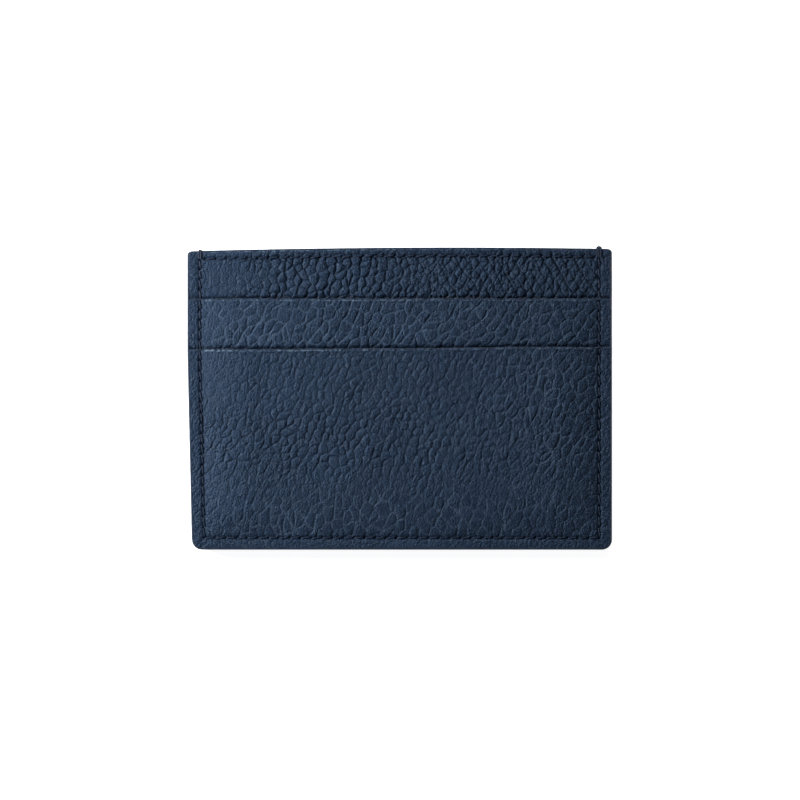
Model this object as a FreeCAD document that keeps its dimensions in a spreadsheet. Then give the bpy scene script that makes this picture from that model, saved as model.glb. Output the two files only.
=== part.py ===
"""Flat leather card holder: two card slots on each side and one centre pocket, open along the top.

The holder lies on its back. X runs across it, Y from the sewn bottom to the open top, and Z from the
back pocket's face, which rests on the table, to the front pocket's face. The origin is the middle of
the resting side. Every sheet is level in its middle, slopes down near the sewn sides and bottom, and
lies flat on the next sheet in the seam. The back half is the front half mirrored in the middle plane.
"""
import FreeCAD, Part
import os

import Sketcher

SHEET_NAME = "Dims"

# Driving dimensions in millimetres: alias, value, what it is.
DIMENSIONS = [
    ("width", 100.0, "overall width"),
    ("height", 71.1, "overall height, at the crown of the top edge"),
    ("top_left", 70.3, "height of the top edge at its left end"),
    ("top_right", 70.85, "height of the top edge at its right end"),
    ("lean", 1.1, "how far the left side leans inward at the bottom"),
    ("knee", 47.0, "height where the left side starts to lean"),
    ("low_corner", 2.4, "radius of the two bottom corners"),
    ("top_corner", 1.0, "radius of the two top corners"),
    ("coat", 0.2, "thickness of the edge paint"),
    ("upper_mouth", 59.1, "height of the upper card slot's edge"),
    ("lower_mouth_left", 47.2, "height of the lower card slot's edge, left end"),
    ("lower_mouth_right", 47.8, "height of the lower card slot's edge, right end"),
    ("head_low", 38.0, "lower end of the upper pocket's leather, behind the lower pocket"),
    ("tail_low", 12.0, "lower end of the upper pocket's fabric tail"),
    ("tail_high", 44.0, "upper end of the fabric tail, bonded behind the leather"),
    ("tail_inset", 10.4, "fabric tail to the holder's side"),
    ("seam_side", 4.6, "width of the flat seam at the sides"),
    ("seam_low", 5.0, "width of the flat seam at the bottom"),
    ("slope", 9.0, "width of the slope between the seam and the level middle"),
    ("lining_mouth", 1.0, "top edge of the lining below the top edge of the leather"),
    ("stitch_side", 3.05, "perimeter stitches to the holder's sides"),
    ("stitch_low", 2.85, "perimeter stitches to the bottom edge"),
    ("stitch_top", 2.0, "hem stitches to the top edge"),
    ("pitch", 2.5, "length of one stitch, hole to hole"),
    ("hole_gap", 0.55, "length of one stitch that is down its hole"),
    ("thread", 0.44, "diameter of the thread"),
    # Levels above the middle plane: in the flat seam, and in the level middle.
    ("lining_seam", 0.15, "outer face of the lining in the seam"),
    ("body_seam", 0.9, "outer face of the body panel in the seam"),
    ("head_seam", 1.25, "outer face of the upper pocket's skived ears in the seam"),
    ("pocket_seam", 1.95, "outer face of the lower pocket in the seam"),
    ("lining_in_field", 0.25, "inner face of the lining: half the centre pocket's gap"),
    ("lining_field", 0.4, "outer face of the lining"),
    ("body_field", 1.15, "outer face of the body panel"),
    ("head_in_field", 1.4, "inner face of the upper pocket's leather"),
    ("head_field", 2.1, "outer face of the upper pocket's leather"),
    ("pocket_in_field", 2.35, "inner face of the lower pocket"),
    ("pocket_field", 3.2, "outer face of the lower pocket: half the thickness"),
]

OVERSHOOT = 6.0  # how far a cutting solid reaches past what it cuts, in mm

doc = FreeCAD.newDocument("card_holder")


def make_sheet():
    """The spreadsheet that holds the driving dimensions."""
    sheet = doc.addObject("Spreadsheet::Sheet", SHEET_NAME)
    for row, (alias, value, words) in enumerate(DIMENSIONS, start=1):
        sheet.set(f"A{row}", words)
        sheet.set(f"B{row}", str(value))
        sheet.setAlias(f"B{row}", alias)
    doc.recompute()
    return sheet


sheet = make_sheet()


def number(expression):
    """The value of an expression over the sheet's cells."""
    return float(sheet.evalExpression(expression))


def dim(alias):
    """The sheet's cell as it is written in another object's expression."""
    return f"{SHEET_NAME}.{alias}"


def bind(thing, prop, expression):
    thing.setExpression(prop, expression)


# ---------------------------------------------------------------- outlines


def left_side(height, inset):
    """X of the left side at a height, moved inward by inset. It leans inward below the knee."""
    straight = f"-{dim('width')} / 2 + {inset}"
    if number(height) >= number(dim("knee")):
        return straight
    return f"{straight} + {dim('lean')} * (1 - ({height}) / {dim('knee')})"


def right_side(inset):
    return f"{dim('width')} / 2 - {inset}"


def panel_corners(low, mouth_left, mouth_right, inset):
    """Corners of a panel between the sides, from its upper left corner down and round."""
    corners = [(left_side(mouth_left, inset), mouth_left)]
    if number(mouth_left) > number(dim("knee")) > number(low):
        corners.append((left_side(dim("knee"), inset), dim("knee")))
    corners.append((left_side(low, inset), low))
    corners.append((right_side(inset), low))
    corners.append((right_side(inset), mouth_right))
    return corners


def pin_point(sketch, geometry, point, x, y):
    """Holds a point of the sketch at x, y, which are expressions, measured from the sketch's origin."""
    for kind, expression in (("DistanceX", x), ("DistanceY", y)):
        value = number(expression)
        index = sketch.addConstraint(Sketcher.Constraint(kind, -1, 1, geometry, point, value))
        bind(sketch, f"Constraints[{index}]", expression)


def draw_outline(sketch, corners, crown=None):
    """Draws a closed outline through the corners. The last side is an arc if it has a crown point."""
    points = [FreeCAD.Vector(number(x), number(y), 0) for x, y in corners]
    count = len(points)
    for i in range(count):
        start, end = points[i], points[(i + 1) % count]
        if crown and i == count - 1:
            top = FreeCAD.Vector(number(crown[0]), number(crown[1]), 0)
            sketch.addGeometry(Part.Arc(start, top, end), False)
        else:
            sketch.addGeometry(Part.LineSegment(start, end), False)
    for i in range(count - 1):
        pin_point(sketch, i, 1, *corners[i])
    pin_point(sketch, count - 2, 2, *corners[-1])
    for i in range(count - 2):
        sketch.addConstraint(Sketcher.Constraint("Coincident", i, 2, i + 1, 1))
    if crown:
        # Part.Arc always runs counter-clockwise, so the arc's own ends are matched to the corners.
        arc = sketch.Geometry[count - 1]
        starts_right = arc.StartPoint.distanceToPoint(points[-1]) < arc.EndPoint.distanceToPoint(points[-1])
        right, left = (1, 2) if starts_right else (2, 1)
        sketch.addConstraint(Sketcher.Constraint("Coincident", count - 2, 2, count - 1, right))
        sketch.addConstraint(Sketcher.Constraint("Coincident", count - 1, left, 0, 1))
        mark = sketch.addGeometry(Part.Point(FreeCAD.Vector(number(crown[0]), number(crown[1]), 0)), True)
        pin_point(sketch, mark, 1, *crown)
        sketch.addConstraint(Sketcher.Constraint("PointOnObject", mark, 1, count - 1))
    else:
        sketch.addConstraint(Sketcher.Constraint("Coincident", count - 2, 2, count - 1, 1))
        sketch.addConstraint(Sketcher.Constraint("Coincident", count - 1, 2, 0, 1))


# ---------------------------------------------------------------- building blocks


def upright_edges(shape, where, limit):
    """Names of the shape's upright edges above or below a height."""
    names = []
    for i, edge in enumerate(shape.Edges, start=1):
        ends = [vertex.Point for vertex in edge.Vertexes]
        if len(ends) != 2 or (ends[0] - ends[1]).cross(FreeCAD.Vector(0, 0, 1)).Length > 1e-6:
            continue
        if (ends[0].y > limit) if where == "above" else (ends[0].y < limit):
            names.append(f"Edge{i}")
    return names


def prism(name, corners, crown=None, rounded=()):
    """A body padded up from the middle plane over an outline, with some of its corners rounded."""
    body = doc.addObject("PartDesign::Body", name)
    sketch = body.newObject("Sketcher::SketchObject", name + "_outline")
    plane = next(f for f in body.Origin.OriginFeatures if f.Role == "XY_Plane")
    sketch.AttachmentSupport = [(plane, "")]
    sketch.MapMode = "FlatFace"
    draw_outline(sketch, corners, crown)
    pad = body.newObject("PartDesign::Pad", name + "_pad")
    pad.Profile = sketch
    bind(pad, "Length", f"{dim('pocket_field')} + 1")
    doc.recompute()
    for where, limit, radius in rounded:
        base = body.Tip
        fillet = body.newObject("PartDesign::Fillet", f"{name}_corners_{where}")
        fillet.Base = (base, upright_edges(base.Shape, where, number(limit)))
        bind(fillet, "Radius", radius)
        doc.recompute()
    return body


def level_sketch(name, inset, level):
    """The outline of the level middle, or of its foot, at a height above the middle plane."""
    sketch = doc.addObject("Sketcher::SketchObject", name)
    low = f"{dim('seam_low')} + {inset}"
    side = f"({dim('seam_side')} + {inset})"
    past_top = f"{dim('height')} + {OVERSHOOT}"
    draw_outline(sketch, panel_corners(low, past_top, past_top, side))
    bind(sketch, "Placement.Base.z", level)
    return sketch


def dome(name, seam_level, field_level):
    """Everything below a sheet's face: a slab up to the seam's level, and a low hill up to the middle's."""
    foot = level_sketch(name + "_foot", "0", seam_level)
    crest = level_sketch(name + "_crest", dim("slope"), field_level)
    hill = doc.addObject("Part::Loft", name + "_hill")
    hill.Sections = [foot, crest]
    hill.Solid = True
    hill.Ruled = True
    if number(seam_level) <= 0:
        return hill
    slab = doc.addObject("Part::Box", name + "_slab")
    bind(slab, "Length", f"{dim('width')} + {2 * OVERSHOOT}")
    bind(slab, "Width", f"{dim('height')} + {2 * OVERSHOOT}")
    bind(slab, "Height", seam_level)
    bind(slab, "Placement.Base.x", f"-{dim('width')} / 2 - {OVERSHOOT}")
    bind(slab, "Placement.Base.y", f"-{OVERSHOOT}")
    whole = doc.addObject("Part::Fuse", name)
    whole.Base = slab
    whole.Tool = hill
    return whole


def block(name, y_low, y_high, z_low, z_high):
    """A box across the whole width."""
    box = doc.addObject("Part::Box", name)
    bind(box, "Length", f"{dim('width')} + {2 * OVERSHOOT}")
    bind(box, "Width", f"({y_high}) - ({y_low})")
    bind(box, "Height", f"({z_high}) - ({z_low})")
    bind(box, "Placement.Base.x", f"-{dim('width')} / 2 - {OVERSHOOT}")
    bind(box, "Placement.Base.y", y_low)
    bind(box, "Placement.Base.z", z_low)
    return box


def boolean(kind, name, base, tool):
    """One Part boolean: Common, Cut or Fuse."""
    made = doc.addObject(f"Part::{kind}", name)
    made.Base = base
    made.Tool = tool
    return made


PARTS = []


def stand_on_back(piece):
    """Moves a finished piece from the bench, y from the bottom edge and z from the middle plane, into place."""
    bind(piece, "Placement.Base.y", f"-{dim('height')} / 2")
    bind(piece, "Placement.Base.z", dim("pocket_field"))


def finish(piece, label):
    piece.Label = label
    PARTS.append(piece)
    return piece


def mirror_to_back(piece, label):
    """The same piece on the back half, mirrored in the middle plane."""
    twin = doc.addObject("Part::Mirroring", label)
    twin.Source = piece
    twin.Normal = FreeCAD.Vector(0, 0, 1)
    bind(twin, "Base.z", dim("pocket_field"))
    return finish(twin, label)


def both_sides(piece, name):
    """Puts a front piece in place and adds its twin on the back."""
    stand_on_back(piece)
    finish(piece, "front_" + name)
    mirror_to_back(piece, "back_" + name)


def sheet_piece(name, outline, outer, *inner):
    """A sheet: its outline's prism, under its outer face and over its inner faces."""
    piece = boolean("Common", name + "_under", outline, outer)
    for i, below in enumerate(inner):
        piece = boolean("Cut", f"{name}_over_{i}", piece, below)
    both_sides(piece, name)
    return piece


# ---------------------------------------------------------------- the faces between the sheets

LINING_INNER = dome("lining_inner", "0", dim("lining_in_field"))
LINING_OUTER = dome("lining_outer", dim("lining_seam"), dim("lining_field"))
BODY_OUTER = dome("body_outer", dim("body_seam"), dim("body_field"))
HEAD_INNER = dome("head_inner", dim("body_seam"), dim("head_in_field"))
HEAD_OUTER = dome("head_outer", dim("head_seam"), dim("head_field"))
POCKET_INNER = dome("pocket_inner", dim("body_seam"), dim("pocket_in_field"))
POCKET_OVER_HEAD = dome("pocket_over_head", dim("head_seam"), dim("pocket_in_field"))
POCKET_OUTER = dome("pocket_outer", dim("pocket_seam"), dim("pocket_field"))

# The rounded corners of an outline: which ones, the height that picks them out, and their radius.
LOW_PAINTED = ("below", "1", dim("low_corner"))
LOW_LEATHER = ("below", "1", f"{dim('low_corner')} - {dim('coat')}")
TOP_PAINTED = ("above", f"{dim('top_left')} - 1", dim("top_corner"))
TOP_LEATHER = ("above", f"{dim('top_left')} - 1", f"{dim('top_corner')} - {dim('coat')}")
PAST_TOP = f"{dim('height')} + {OVERSHOOT}"


def full_outline(name, inset, rounded):
    """The whole holder's outline, moved inward by inset."""
    corners = panel_corners(inset, f"{dim('top_left')} - {inset}", f"{dim('top_right')} - {inset}", inset)
    return prism(name, corners, ("0", f"{dim('height')} - {inset}"), rounded)


LEATHER_OUTLINE = full_outline("leather_outline", dim("coat"), [LOW_LEATHER, TOP_LEATHER])
PAINTED_OUTLINE = full_outline("painted_outline", "0", [LOW_PAINTED, TOP_PAINTED])
BETWEEN_SIDES = prism(
    "between_sides", panel_corners(dim("coat"), PAST_TOP, PAST_TOP, dim("coat")), None, [LOW_LEATHER]
)


# ---------------------------------------------------------------- linings and body panels


def lining_outline():
    """The outline of the lining, which ends a little below the top edge."""
    drop = f"- {dim('lining_mouth')}"
    corners = panel_corners(dim("coat"), f"{dim('top_left')} {drop}", f"{dim('top_right')} {drop}", dim("coat"))
    return prism("lining_outline", corners, ("0", f"{dim('height')} {drop}"), [LOW_LEATHER])


LINING_OUTLINE = lining_outline()


def build_linings():
    """Thin fabric on both walls of the centre pocket."""
    sheet_piece("pocket_lining", LINING_OUTLINE, LINING_OUTER, LINING_INNER)


def build_body_panels():
    """The full-height leather panels, and the edge paint along their top edges."""
    # Above the lining the leather is as thick as both, as its edge is turned in there.
    over_lining = boolean("Common", "over_lining", LINING_OUTER, LINING_OUTLINE)
    for name, outline in (("body_panel", LEATHER_OUTLINE), ("top_edge_paint", top_bead())):
        sheet_piece(name, outline, BODY_OUTER, over_lining, LINING_INNER)


def top_bead():
    """The outline of the painted bead along the top edge, between the beads down the sides."""
    whole = boolean("Common", "top_bead_between_sides", PAINTED_OUTLINE, BETWEEN_SIDES)
    return boolean("Cut", "top_bead", whole, LEATHER_OUTLINE)


# ---------------------------------------------------------------- pockets


def strip(name, mouth_left, mouth_right):
    """The prism of the edge paint along a slot's edge."""
    coat = dim("coat")
    corners = [
        (left_side(mouth_left, coat), mouth_left),
        (left_side(f"{mouth_left} - {coat}", coat), f"{mouth_left} - {coat}"),
        (right_side(coat), f"{mouth_right} - {coat}"),
        (right_side(coat), mouth_right),
    ]
    return prism(name, corners)


def build_upper_pockets():
    """The upper pocket: a leather head that shows, and a fabric tail sewn to the body panel."""
    mouth = dim("upper_mouth")
    leather_mouth = f"{mouth} - {dim('coat')}"
    head = prism("head_outline", panel_corners(dim("head_low"), leather_mouth, leather_mouth, dim("coat")))
    sheet_piece("upper_pocket", head, HEAD_OUTER, HEAD_INNER)
    sheet_piece("upper_slot_edge_paint", strip("upper_strip", mouth, mouth), HEAD_OUTER, HEAD_INNER)
    tail = prism(
        "tail_outline",
        panel_corners(dim("tail_low"), dim("tail_high"), dim("tail_high"), dim("tail_inset")),
    )
    sheet_piece("upper_pocket_tail", tail, HEAD_INNER, BODY_OUTER)


def build_lower_pockets():
    """The lower pocket, skived where it passes over the upper pocket's ears."""
    left, right = dim("lower_mouth_left"), dim("lower_mouth_right")
    coat = dim("coat")
    outline = prism(
        "pocket_outline",
        panel_corners(coat, f"{left} - {coat}", f"{right} - {coat}", coat),
        None,
        [LOW_LEATHER],
    )
    over = block("over_head", dim("head_low"), dim("height"), "0", dim("pocket_field"))
    relief = boolean("Common", "ear_relief", POCKET_OVER_HEAD, over)
    sheet_piece("lower_pocket", outline, POCKET_OUTER, POCKET_INNER, relief)
    sheet_piece("lower_slot_edge_paint", strip("lower_strip", left, right), POCKET_OUTER, POCKET_OVER_HEAD)


# ---------------------------------------------------------------- edge paint round the seam


def build_perimeter_edge_paint():
    """One painted bead down the left side, along the bottom and up the right side, as high as the stack."""
    ring = boolean("Cut", "rim_ring", PAINTED_OUTLINE, BETWEEN_SIDES)
    steps = [
        block("rim_low", f"-{OVERSHOOT}", dim("lower_mouth_left"), "0", dim("pocket_seam")),
        block("rim_middle", dim("lower_mouth_left"), dim("upper_mouth"), "0", dim("head_seam")),
        block("rim_high", dim("upper_mouth"), PAST_TOP, "0", dim("body_seam")),
    ]
    stack = boolean("Fuse", "rim_stack", boolean("Fuse", "rim_stack_low", steps[0], steps[1]), steps[2])
    half = boolean("Common", "rim_half", ring, stack)
    other = doc.addObject("Part::Mirroring", "rim_other_half")
    other.Source = half
    other.Normal = FreeCAD.Vector(0, 0, 1)
    whole = doc.addObject("Part::Fuse", "rim_whole")
    whole.Base = half
    whole.Tool = other
    whole.Refine = True
    stand_on_back(whole)
    finish(whole, "perimeter_edge_paint")


# ---------------------------------------------------------------- stitches


def seam_level(point):
    """Height of the outermost face in the flat seam, above the middle plane."""
    if point.y > number(dim("upper_mouth")):
        return number(dim("body_seam"))
    mouth = dim("lower_mouth_left") if point.x < 0 else dim("lower_mouth_right")
    if point.y > number(mouth):
        return number(dim("head_seam"))
    return number(dim("pocket_seam"))


def hem_level(point):
    """Height of the body panel's face near the top edge, where it slopes down towards the sides."""
    inset = dim("seam_side")
    side = left_side(str(point.y), inset) if point.x < 0 else right_side(inset)
    inward = (abs(number(side)) - abs(point.x)) / number(dim("slope"))
    share = min(1.0, max(0.0, inward))
    low, high = number(dim("body_seam")), number(dim("body_field"))
    return low + share * (high - low)


def staple(start, end, foot):
    """One stitch: thread pressed into the face between two points, and a leg at each end down to foot."""
    radius = number(dim("thread")) / 2
    sink = FreeCAD.Vector(0, 0, -radius / 2)
    start, end = start + sink, end + sink
    run = Part.makeCylinder(radius, (end - start).Length, start, end - start)
    down = FreeCAD.Vector(0, 0, -1)
    legs = [Part.makeCylinder(radius * 0.7, point.z - foot, point, down) for point in (start, end)]
    caps = [Part.makeSphere(radius, point) for point in (start, end)]
    return run.multiFuse(legs + caps).removeSplitter()


def stitch_row(points, level, foot):
    """The stitches between one hole and the next. level gives the face's height at a point."""
    stitches = []
    for hole, next_hole in zip(points, points[1:]):
        step = next_hole - hole
        gap = step * (number(dim("hole_gap")) / step.Length / 2)
        start, end = hole + gap, next_hole - gap
        start.z, end.z = level(start), level(end)
        stitches.append(staple(start, end, foot))
    return stitches


def holes_between(start, end):
    """Evenly spaced holes on a straight line, both ends included."""
    count = max(1, round((end - start).Length / number(dim("pitch"))))
    return [start + (end - start) * (i / count) for i in range(count + 1)]


def thread_piece(name, stitches, label):
    """A seam's stitches as one group of separate solids, and their twins on the back."""
    piece = doc.addObject("Part::Feature", name)
    piece.Shape = Part.makeCompound(stitches)
    stand_on_back(piece)
    doc.recompute()
    finish(piece, "front_" + label)
    mirror_to_back(piece, "back_" + label)


def build_perimeter_stitches():
    """The seam down the left side, along the bottom and up the right side, through every sheet."""
    low = number(dim("stitch_low"))
    high_left = number(dim("top_left")) - number(dim("stitch_top"))
    high_right = number(dim("top_right")) - number(dim("stitch_top"))
    knee = number(dim("knee"))
    inset = dim("stitch_side")
    route = [
        FreeCAD.Vector(number(left_side(str(high_left), inset)), high_left, 0),
        FreeCAD.Vector(number(left_side(str(knee), inset)), knee, 0),
        FreeCAD.Vector(number(left_side(str(low), inset)), low, 0),
        FreeCAD.Vector(number(right_side(inset)), low, 0),
        FreeCAD.Vector(number(right_side(inset)), high_right, 0),
    ]
    stitches = []
    for start, end in zip(route, route[1:]):
        stitches += stitch_row(holes_between(start, end), seam_level, 0)
    thread_piece("perimeter_row", stitches, "perimeter_stitches")


def build_hem_stitches():
    """The row below the top edge of each body panel, through the leather and its lining."""
    drop = number(dim("stitch_top"))
    crown = number(dim("height")) - drop
    inset = f"({dim('stitch_side')} + {dim('pitch')} / 2)"
    left = FreeCAD.Vector(number(left_side(dim("top_left"), inset)), number(dim("top_left")) - drop, 0)
    right = FreeCAD.Vector(number(right_side(inset)), number(dim("top_right")) - drop, 0)
    arc = Part.Arc(left, FreeCAD.Vector(0, crown, 0), right).toShape()
    count = round(arc.Length / number(dim("pitch")))
    stitches = stitch_row(arc.discretize(count + 1), hem_level, number(dim("lining_in_field")))
    thread_piece("hem_row", stitches, "top_hem_stitches")


def build_tail_stitches():
    """The row that sews the fabric tail's lower end to the body panel. It is hidden in the lower pocket."""
    y = number(dim("tail_low")) + number(dim("slope")) / 3
    inset = f"({dim('tail_inset')} + {dim('slope')} / 2)"
    start = FreeCAD.Vector(number(left_side(str(y), inset)), y, 0)
    end = FreeCAD.Vector(number(right_side(inset)), y, 0)
    level = number(dim("head_in_field"))
    stitches = stitch_row(holes_between(start, end), lambda point: level, number(dim("lining_field")))
    thread_piece("tail_row", stitches, "tail_stitches")


def edge_loop(x, top):
    """The seam's end at a top corner: the thread goes over the top edge from front to back."""
    radius = number(dim("thread")) / 2
    face = number(dim("body_seam"))
    drop = number(dim("stitch_top"))
    over = top + number(dim("height")) - number(dim("top_right")) - radius
    outward = FreeCAD.Vector(0, 0, face + radius / 2)
    down = FreeCAD.Vector(0, 0, -face - radius / 2)
    route = [
        FreeCAD.Vector(x, top - drop, 0) + outward,
        FreeCAD.Vector(x, over, 0) + outward,
        FreeCAD.Vector(x, over, 0) + down,
        FreeCAD.Vector(x, top - drop, 0) + down,
    ]
    pieces = [Part.makeSphere(radius, p) for p in route]
    for a, b in zip(route, route[1:]):
        pieces.append(Part.makeCylinder(radius, (b - a).Length, a, b - a))
    return pieces[0].multiFuse(pieces[1:]).removeSplitter()


def build_edge_loops():
    """Both ends of the perimeter seam, one at each top corner."""
    ends = [
        (number(left_side(dim("top_left"), dim("stitch_side"))), number(dim("top_left"))),
        (number(right_side(dim("stitch_side"))), number(dim("top_right"))),
    ]
    piece = doc.addObject("Part::Feature", "seam_ends")
    piece.Shape = Part.makeCompound([edge_loop(x, top) for x, top in ends])
    stand_on_back(piece)
    finish(piece, "seam_end_loops")


# ---------------------------------------------------------------- check and write


def check(piece):
    """Stops the script if a piece failed to build or isn't a set of valid closed solids."""
    shape = piece.Shape
    if shape.isNull() or not shape.isValid() or not shape.Solids:
        raise RuntimeError(f"{piece.Label} has no valid solid")
    if any(not s.isClosed() or s.Volume <= 0 for s in shape.Solids):
        raise RuntimeError(f"{piece.Label} has an open or empty solid")


def write_parts():
    doc.recompute()
    for thing in doc.Objects:
        if "Invalid" in thing.State or "Error" in thing.State:
            raise RuntimeError(f"{thing.Name} is in state {thing.State}")
    os.makedirs("parts", exist_ok=True)
    for piece in PARTS:
        check(piece)
        piece.Shape.exportStep(os.path.join("parts", piece.Label + ".step"))
        box = piece.Shape.BoundBox
        print(
            f"{piece.Label:32s} solids {len(piece.Shape.Solids):3d}  volume {piece.Shape.Volume:9.1f}"
            f"  x {box.XMin:7.2f} {box.XMax:7.2f}  y {box.YMin:7.2f} {box.YMax:7.2f}"
            f"  z {box.ZMin:6.2f} {box.ZMax:6.2f}"
        )


build_linings()
build_body_panels()
build_upper_pockets()
build_lower_pockets()
build_perimeter_edge_paint()
build_perimeter_stitches()
build_hem_stitches()
build_tail_stitches()
build_edge_loops()
write_parts()
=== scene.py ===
"""Looks of the leather card holder: pebbled leather sheets, painted edges and lockstitch seams.

Every sheet is worked out on a bench, in millimetres: x across the holder, y up from its sewn bottom edge, and
z out from the middle plane. The back half uses the same functions, mirrored in that plane.
"""

import math

import bpy
import numpy as np
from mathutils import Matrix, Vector


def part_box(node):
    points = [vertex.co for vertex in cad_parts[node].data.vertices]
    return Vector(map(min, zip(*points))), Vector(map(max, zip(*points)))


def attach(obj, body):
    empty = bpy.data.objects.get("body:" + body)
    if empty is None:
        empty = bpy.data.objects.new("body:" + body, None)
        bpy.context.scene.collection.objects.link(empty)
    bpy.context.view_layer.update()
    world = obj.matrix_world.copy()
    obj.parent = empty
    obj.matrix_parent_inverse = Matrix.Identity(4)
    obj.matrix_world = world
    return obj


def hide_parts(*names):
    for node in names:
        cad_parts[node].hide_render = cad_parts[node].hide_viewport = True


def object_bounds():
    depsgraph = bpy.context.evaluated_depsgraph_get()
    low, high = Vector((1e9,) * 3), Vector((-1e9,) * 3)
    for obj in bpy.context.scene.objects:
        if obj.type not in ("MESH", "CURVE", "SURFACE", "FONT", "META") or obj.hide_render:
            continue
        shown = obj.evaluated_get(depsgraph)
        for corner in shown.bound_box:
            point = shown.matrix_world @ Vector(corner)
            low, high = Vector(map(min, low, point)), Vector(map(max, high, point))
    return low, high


MM = 0.001
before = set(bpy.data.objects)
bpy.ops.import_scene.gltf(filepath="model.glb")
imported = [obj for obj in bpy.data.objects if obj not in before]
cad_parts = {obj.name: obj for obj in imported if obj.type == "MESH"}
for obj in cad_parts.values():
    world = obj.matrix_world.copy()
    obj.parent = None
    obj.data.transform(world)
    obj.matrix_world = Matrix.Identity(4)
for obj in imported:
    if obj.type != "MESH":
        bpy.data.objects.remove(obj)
CAD_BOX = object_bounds()

# ---------------------------------------------------------------- sizes, read from the CAD frame

HALF_WIDTH = CAD_BOX[1].x / MM
HALF_HEIGHT = -CAD_BOX[0].y / MM
HALF_DEPTH = CAD_BOX[1].z / MM / 2


def corner(node, which):
    """The lowest (0) or highest (1) corner of a CAD node, on the bench."""
    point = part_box(node)[which] / MM
    return np.array([point.x, point.y + HALF_HEIGHT, point.z - HALF_DEPTH])


HEIGHT = corner("front_top_edge_paint", 1)[1]
COAT = HALF_WIDTH - corner("front_lower_pocket", 1)[0]
UPPER_MOUTH = corner("front_upper_slot_edge_paint", 1)[1]
POCKET_OUT = corner("front_lower_pocket", 1)[2]
POCKET_SEAM = corner("perimeter_edge_paint", 1)[2]
HEAD_OUT = corner("front_upper_pocket", 1)[2]
BODY_OUT = corner("front_body_panel", 1)[2]
LINING_OUT = corner("front_pocket_lining", 1)[2]

# Sizes that a box can't give, as the design states them.
TOP_LEFT, TOP_RIGHT = 70.3, 70.85
LEAN, KNEE = 1.1, 47.0
MOUTH_LEFT, MOUTH_RIGHT = 47.2, 47.8
LOW_CORNER, TOP_CORNER = 2.4, 1.0
HEAD_LOW = 38.0
LINING_SEAM, BODY_SEAM, HEAD_SEAM = 0.15, 0.9, 1.25
HEAD_IN, POCKET_IN = 1.4, 2.35
STITCH_SIDE, STITCH_LOW, STITCH_TOP = 3.05, 2.85, 2.0
PITCH = 2.5
THREAD = 0.38

# ---------------------------------------------------------------- noise


def smooth(t):
    """Smoothstep of t, clipped to 0..1."""
    t = np.clip(t, 0.0, 1.0)
    return t * t * (3.0 - 2.0 * t)


def ramp(value, low, high):
    """0 below low, 1 above high, smooth between. low may be the larger one, and then it falls."""
    return smooth((value - low) / (high - low))


def noise(x, y, cell, seed):
    """Smooth noise from -1 to 1 with features of about cell millimetres."""
    values = np.random.default_rng(seed).uniform(-1, 1, (256, 256))
    u, v = x / cell + 100.3, y / cell + 100.7
    iu, iv = np.floor(u).astype(int), np.floor(v).astype(int)
    fu, fv = smooth(u - iu), smooth(v - iv)
    grid = [[values[(iv + j) % 256, (iu + i) % 256] for i in (0, 1)] for j in (0, 1)]
    low = grid[0][0] * (1 - fu) + grid[0][1] * fu
    high = grid[1][0] * (1 - fu) + grid[1][1] * fu
    return low * (1 - fv) + high * fv


def wander(x, cell, seed):
    """Noise along x only."""
    return noise(x, x * 0, cell, seed)


def fractal(x, y, cell, seed, octaves=3):
    """Noise with finer octaves added, from about -1 to 1."""
    total, gain, norm = 0.0, 1.0, 0.0
    for i in range(octaves):
        total = total + gain * noise(x, y, cell / 2**i, seed + 17 * i)
        norm += gain
        gain *= 0.55
    return total / norm


# ---------------------------------------------------------------- leather grain


def turned(x, y, degrees):
    """Coordinates along a direction and across it."""
    a = math.radians(degrees)
    return x * math.cos(a) + y * math.sin(a), -x * math.sin(a) + y * math.cos(a)


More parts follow.
